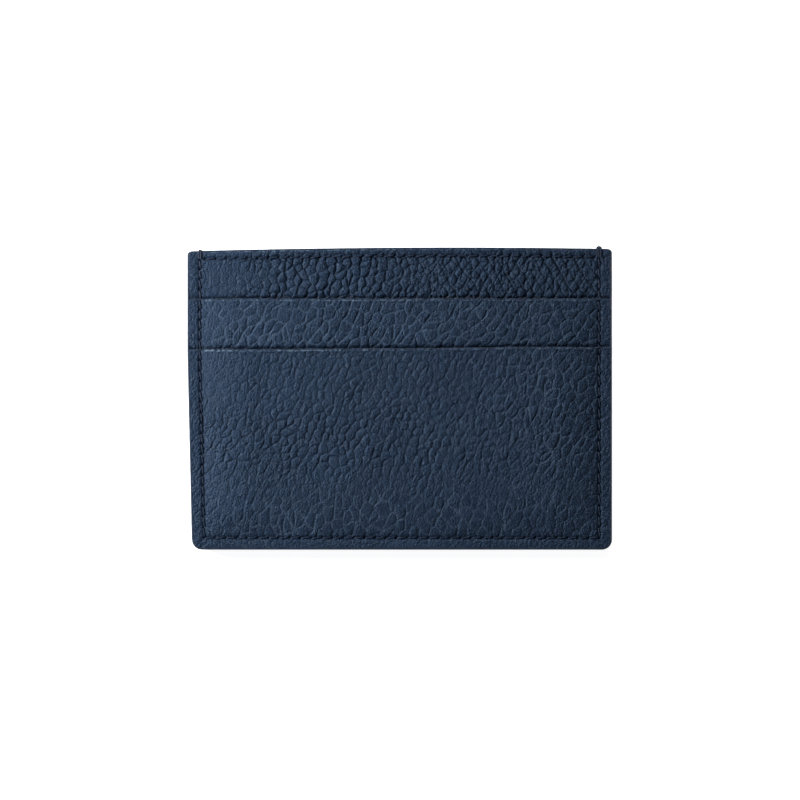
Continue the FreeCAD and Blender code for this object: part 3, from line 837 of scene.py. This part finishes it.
def stitch_routes(holes, height, slant=8.0, sink=0.13):
    """One arched run of thread from each hole to the next, turned a little out of line."""
    rng = np.random.default_rng(len(holes))
    shortest, hole_gap, dive = 0.5, 0.32, 0.55
    routes = []
    for a, b in zip(holes, holes[1:]):
        run = b - a
        length = np.linalg.norm(run)
        if length < shortest:
            continue
        turn = math.radians(slant + rng.uniform(-3, 3))
        c, s = math.cos(turn), math.sin(turn)
        run = np.array([run[0] * c - run[1] * s, run[0] * s + run[1] * c]) * (length - hole_gap) / length
        t = np.linspace(-0.5, 0.5, 13)
        xy = (a + b) / 2 + t[:, None] * run
        ground = height(xy[:, 0], xy[:, 1])
        # A stitch bridges the ground's steps halfway, and dives into its holes.
        taut = np.interp(t, [-0.5, 0.5], [ground[1], ground[-2]])
        arch = np.sqrt(np.clip(1 - (2 * t) ** 6, 0, 1))
        z = taut * 0.5 + ground * 0.5 - sink - dive * (1 - arch) + rng.uniform(-0.03, 0.02)
        routes.append(np.column_stack([xy, z]))
    return routes


def hem_ground(x, y):
    """The face that a hem stitch lies on, without grooves or grain."""
    return level(x, y, BODY_SEAM, BODY_OUT)


def join(parts):
    """Several meshes' points and faces as one."""
    points, faces, start = [], [], 0
    for p, f in parts:
        points.append(p)
        faces += [tuple(int(i) + start for i in face) for face in f]
        start += len(p)
    return np.concatenate(points), faces


def build_threads(side, name):
    """The visible stitches of one half."""
    rows = [
        (f"{name}_perimeter_thread", f"{name}_perimeter_stitches", stitch_routes(PERIMETER, stack_level)),
        (f"{name}_top_hem_thread", f"{name}_top_hem_stitches", stitch_routes(HEM, hem_ground)),
    ]
    made = []
    for piece, node, routes in rows:
        points, faces = join([thread_tube(route, level_across(route)) for route in routes])
        made.append(make_object(piece, points, faces, side, node))
    return made


def corner_loop(x, top, turns, stand):
    """Turns of thread side by side over the top edge, on both faces. stand lifts the middle of them."""
    apart, least, start = 0.42, 0.30, 0.15
    face = BODY_SEAM + 0.06
    steps = np.linspace(0, 1, 9)
    parts = []
    for k in range(turns):
        px = x + apart * (k - (turns - 1) / 2)
        over = least + stand * math.sin(math.pi * (k + 0.5) / turns)
        run = STITCH_TOP + 0.1 * k - start
        shoulder = top - start
        front = [(px, shoulder - run * (1 - t), face) for t in steps[:-1]]
        back = [(px, shoulder - run * t, -face) for t in steps[1:]]
        bend = []
        for a in np.radians(np.linspace(90, -90, 11)):
            bend.append((px, shoulder + over * max(math.cos(a), 0.0) ** 0.7, face * math.sin(a)))
        parts.append(thread_tube(np.array(front + bend + back), np.array([1.0, 0.0, 0.0])))
    return parts


def build_loops():
    """The two ends of the perimeter seam: a flat one at the left and a small knot at the right."""
    left = left_at(TOP_LEFT) + STITCH_SIDE
    right = HALF_WIDTH - STITCH_SIDE
    parts = corner_loop(left, float(top_at(left)), 2, 0.0)
    parts += corner_loop(right, float(top_at(right)), 3, 0.45)
    points, faces = join(parts)
    return make_object("seam_end_thread", points, faces, 1, "seam_end_loops")


# ---------------------------------------------------------------- materials


class Nodes:
    """A material's node tree, with short calls for the nodes used here."""

    def __init__(self, name):
        self.material = bpy.data.materials.new(name)
        self.material.use_nodes = True
        self.tree = self.material.node_tree
        self.shader = self.tree.nodes["Principled BSDF"]

    def add(self, kind, **settings):
        node = self.tree.nodes.new(kind)
        for key, value in settings.items():
            setattr(node, key, value)
        return node

    def link(self, a, b):
        self.tree.links.new(a, b)

    def coordinates(self):
        return self.add("ShaderNodeTexCoord").outputs["Object"]

    def scaled(self, vector, scale):
        node = self.add("ShaderNodeMapping")
        node.inputs["Scale"].default_value = scale
        self.link(vector, node.inputs["Vector"])
        return node.outputs["Vector"]

    def noise(self, vector, scale, detail=4.0, roughness=0.55):
        node = self.add("ShaderNodeTexNoise")
        node.inputs["Scale"].default_value = scale
        node.inputs["Detail"].default_value = detail
        node.inputs["Roughness"].default_value = roughness
        self.link(vector, node.inputs["Vector"])
        return node.outputs["Fac"]

    def math(self, operation, a, b):
        node = self.add("ShaderNodeMath", operation=operation)
        for socket, value in zip(node.inputs, (a, b)):
            if isinstance(value, (int, float)):
                socket.default_value = value
            else:
                self.link(value, socket)
        return node.outputs[0]

    def ramp(self, value, stops):
        node = self.add("ShaderNodeValToRGB")
        elements = node.color_ramp.elements
        while len(elements) < len(stops):
            elements.new(0.5)
        for element, (place, colour) in zip(elements, stops):
            element.position = place
            element.color = (*colour, 1.0)
        self.link(value, node.inputs["Fac"])
        return node.outputs["Color"]

    def mix(self, factor, a, b):
        node = self.add("ShaderNodeMix", data_type="RGBA")
        for socket, value in ((node.inputs[0], factor), (node.inputs[6], a), (node.inputs[7], b)):
            if isinstance(value, tuple):
                socket.default_value = (*value, 1.0)
            elif isinstance(value, float):
                socket.default_value = value
            else:
                self.link(value, socket)
        return node.outputs[2]

    def bump(self, height, strength, distance):
        node = self.add("ShaderNodeBump")
        node.inputs["Strength"].default_value = strength
        node.inputs["Distance"].default_value = distance
        self.link(height, node.inputs["Height"])
        return node.outputs["Normal"]

    def finish(self, colour, roughness, normal, **values):
        if isinstance(colour, tuple):
            self.shader.inputs["Base Color"].default_value = (*colour, 1.0)
        else:
            self.link(colour, self.shader.inputs["Base Color"])
        if isinstance(roughness, float):
            self.shader.inputs["Roughness"].default_value = roughness
        else:
            self.link(roughness, self.shader.inputs["Roughness"])
        if normal is not None:
            self.link(normal, self.shader.inputs["Normal"])
        for key, value in values.items():
            self.shader.inputs[key.replace("_", " ")].default_value = value
        return self.material


# Linear colours of the leather: its own mottled navy, the painted highlights, and the painted shade at the
# bottom of a crease.
NAVY = (0.0115, 0.0262, 0.0560)
NAVY_DEEP = (0.0020, 0.0054, 0.0135)
NAVY_WORN = (0.0148, 0.0325, 0.0685)
NAVY_PAINTED_HIGHLIGHT = (0.0480, 0.0780, 0.1260)
NAVY_STRONG_PAINTED_HIGHLIGHT = (0.0900, 0.1300, 0.1800)


def leather_material():
    """Navy full-grain leather: mottled, with painted shade in creases, paler where highlights are painted, with
    wrinkles and pores.
    """
    n = Nodes("navy_grained_leather")
    place = n.coordinates()
    crease = n.add("ShaderNodeAttribute", attribute_name="crease").outputs["Fac"]
    mottle = n.noise(place, 95.0, 3.0, 0.6)
    base = n.ramp(mottle, [(0.34, NAVY), (0.70, NAVY_WORN)])
    soft = n.noise(place, 900.0, 4.0, 0.6)
    base = n.mix(n.math("MULTIPLY", soft, 0.25), base, NAVY)
    speck = n.ramp(n.noise(place, 3000.0, 1.0), [(0.35, (0, 0, 0)), (0.65, (1, 1, 1))])
    base = n.mix(n.math("MULTIPLY", speck, 0.30), base, NAVY_DEEP)
    # Painted highlights where the crease value is below 0: paler, and palest below -0.8.
    rubbed = n.math("MINIMUM", n.math("MAXIMUM", n.math("MULTIPLY", crease, -0.9), 0.0), 1.0)
    base = n.mix(rubbed, base, NAVY_PAINTED_HIGHLIGHT)
    strong_highlight = n.math("MINIMUM", n.math("MAXIMUM", n.math("SUBTRACT", -0.8, crease), 0.0), 1.0)
    base = n.mix(strong_highlight, base, NAVY_STRONG_PAINTED_HIGHLIGHT)
    # Painted shade where the crease value is above 0, deeper above 1 in seams and slots.
    deep = n.math("MULTIPLY", n.math("MAXIMUM", n.math("SUBTRACT", crease, 1.0), 0.0), 0.6)
    sunk = n.math("ADD", n.math("MAXIMUM", n.math("MULTIPLY", crease, 0.55), 0.0), deep)
    sunk = n.math("MINIMUM", sunk, 1.0)
    colour = n.mix(sunk, base, NAVY_DEEP)
    matt = n.math("ADD", n.math("MULTIPLY", sunk, 0.8), n.math("MULTIPLY", soft, 0.4))
    rough = n.ramp(matt, [(0.15, (0.56, 0.56, 0.56)), (0.45, (0.42, 0.42, 0.42))])
    wrinkles = n.noise(place, 2100.0, 2.0, 0.6)
    pores = n.add("ShaderNodeTexVoronoi", feature="DISTANCE_TO_EDGE")
    pores.inputs["Scale"].default_value = 1500.0
    n.link(place, pores.inputs["Vector"])
    edges = n.math("MINIMUM", n.math("MULTIPLY", pores.outputs["Distance"], 4.0), 1.0)
    fine = n.math("ADD", wrinkles, n.math("MULTIPLY", edges, 0.40))
    normal = n.bump(fine, 1.0, 0.00021)
    return n.finish(colour, rough, normal, Specular_IOR_Level=0.24, Specular_Tint=(0.72, 0.86, 1.0, 1.0))


def paint_material(name, dark, light, grain_scale):
    """Edge paint: smooth, a little uneven and half matt."""
    n = Nodes(name)
    place = n.coordinates()
    tone = n.noise(place, grain_scale, 2.0)
    colour = n.ramp(tone, [(0.42, dark), (0.62, light)])
    normal = n.bump(n.noise(place, 1500.0, 3.0), 0.35, 0.00015)
    return n.finish(colour, 0.5, normal, Specular_IOR_Level=0.25)


def thread_material():
    """Dark navy polyester thread with a soft sheen."""
    n = Nodes("navy_thread")
    place = n.coordinates()
    fibre = n.noise(place, 5200.0, 2.0)
    colour = n.ramp(fibre, [(0.3, (0.0045, 0.0110, 0.0280)), (0.75, (0.0120, 0.0250, 0.0530))])
    normal = n.bump(fibre, 0.5, 0.00006)
    return n.finish(colour, 0.55, normal, Specular_IOR_Level=0.25)


def woven_material(name, dark, light, threads_per_mm):
    """Plain-woven fabric: over and under in both directions."""
    n = Nodes(name)
    place = n.coordinates()
    split = n.add("ShaderNodeSeparateXYZ")
    n.link(place, split.inputs[0])
    turn = 2 * math.pi * threads_per_mm * 1000 / 2
    across = n.math("SINE", n.math("MULTIPLY", split.outputs["X"], turn), 0.0)
    along = n.math("SINE", n.math("MULTIPLY", split.outputs["Y"], turn), 0.0)
    weave = n.math("ADD", n.math("MULTIPLY", n.math("MULTIPLY", across, along), 0.5), 0.5)
    slub = n.noise(n.scaled(place, (1.0, 6.0, 1.0)), 700.0, 2.0)
    value = n.math("ADD", n.math("MULTIPLY", weave, 0.7), n.math("MULTIPLY", slub, 0.3))
    colour = n.ramp(value, [(0.15, dark), (0.85, light)])
    normal = n.bump(weave, 0.6, 0.00008)
    return n.finish(colour, 0.8, normal)


def floor_material():
    """A plain pale studio floor."""
    n = Nodes("studio_floor")
    n.shader.inputs["Emission Color"].default_value = (1.0, 1.0, 1.0, 1.0)
    n.shader.inputs["Emission Strength"].default_value = 0.9
    return n.finish((0.88, 0.88, 0.88), 0.9, None)


# ---------------------------------------------------------------- studio


def build_floor():
    mesh = bpy.data.meshes.new("floor")
    half = 2.0
    corners = [(-half, -half, 0), (half, -half, 0), (half, half, 0), (-half, half, 0)]
    mesh.from_pydata(corners, [], [(0, 1, 2, 3)])
    thing = bpy.data.objects.new("floor", mesh)
    bpy.context.scene.collection.objects.link(thing)
    thing.data.materials.append(floor_material())


def area_light(name, place, size, power):
    """A rectangular light that shines at the origin."""
    data = bpy.data.lights.new(name, "AREA")
    data.shape = "RECTANGLE"
    data.size, data.size_y = size
    data.energy = power
    thing = bpy.data.objects.new(name, data)
    thing.location = place
    thing.rotation_mode = "QUATERNION"
    thing.rotation_quaternion = (-Vector(place)).to_track_quat("-Z", "Y")
    bpy.context.scene.collection.objects.link(thing)


def build_lights():
    """A low key light at the left, a long rear one, a weak fill at the right, and a pale horizon."""
    area_light("key", (-0.243, 0.050, 0.135), (0.05, 0.05), 1.25)
    area_light("rear", (0.00, 0.34, 0.20), (0.30, 0.10), 0.76)
    area_light("fill", (0.35, -0.30, 0.30), (0.30, 0.30), 0.05)
    world = bpy.data.worlds.new("studio")
    world.use_nodes = True
    tree = world.node_tree
    background = tree.nodes["Background"]
    direction = tree.nodes.new("ShaderNodeTexCoord")
    split = tree.nodes.new("ShaderNodeSeparateXYZ")
    shade = tree.nodes.new("ShaderNodeValToRGB")
    stops = [(0.11, (1.0, 1.0, 1.0, 1.0)), (0.22, (0.05, 0.05, 0.055, 1.0))]
    for element, (place, colour) in zip(shade.color_ramp.elements, stops):
        element.position = place
        element.color = colour
    tree.links.new(direction.outputs["Generated"], split.inputs[0])
    tree.links.new(split.outputs["Z"], shade.inputs["Fac"])
    tree.links.new(shade.outputs["Color"], background.inputs["Color"])
    bpy.context.scene.world = world
    bpy.context.scene.view_settings.view_transform = "Standard"


def build_camera():
    """Straight above the holder, where the frame is field millimetres wide at its middle plane."""
    lens, sensor, field = 200.0, 36.0, 188.4
    data = bpy.data.cameras.new("camera")
    data.lens, data.sensor_width = lens, sensor
    data.clip_start, data.clip_end = 0.05, 10.0
    thing = bpy.data.objects.new("camera", data)
    thing.location = (0.00009, -0.00029, (field * lens / sensor + HALF_DEPTH) * MM)
    bpy.context.scene.collection.objects.link(thing)
    bpy.context.scene.camera = thing


# ---------------------------------------------------------------- all together


def paint(things, material):
    """Gives the things one material in place of those they have."""
    for thing in things:
        thing.data.materials.clear()
        thing.data.materials.append(material)


def main():
    """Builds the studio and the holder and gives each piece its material."""
    build_camera()
    build_lights()
    build_floor()
    leather, rims, slot_edges, threads = [], [build_rim()], [], [build_loops()]
    for side, name in ((1, "front"), (-1, "back")):
        leather += build_leather(side, name)
        lower, upper, top = build_mouth_beads(side, name)
        slot_edges += [lower, upper]
        rims.append(top)
        threads += build_threads(side, name)
    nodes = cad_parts
    threads += [nodes["front_tail_stitches"], nodes["back_tail_stitches"]]
    paint(leather, leather_material())
    edge_paint = paint_material("navy_edge_paint", (0.0050, 0.0130, 0.0330), (0.0080, 0.0200, 0.0470), 1100.0)
    # Slot paint: its own dark tone, with paler specks that are a painted highlight along the slot edges.
    slot_paint_and_highlight = paint_material("navy_slot_paint_and_highlight", (0.0035, 0.0090, 0.0230), (0.0240, 0.0460, 0.0840), 2200.0)
    paint(rims, edge_paint)
    paint(slot_edges, slot_paint_and_highlight)
    paint(threads, thread_material())
    lining = woven_material("lining_weave", (0.006, 0.010, 0.022), (0.020, 0.031, 0.058), 4.0)
    tail = woven_material("tail_weave", (0.004, 0.005, 0.008), (0.014, 0.017, 0.024), 3.0)
    paint([nodes["front_pocket_lining"], nodes["back_pocket_lining"]], lining)
    paint([nodes["front_upper_pocket_tail"], nodes["back_upper_pocket_tail"]], tail)


main()
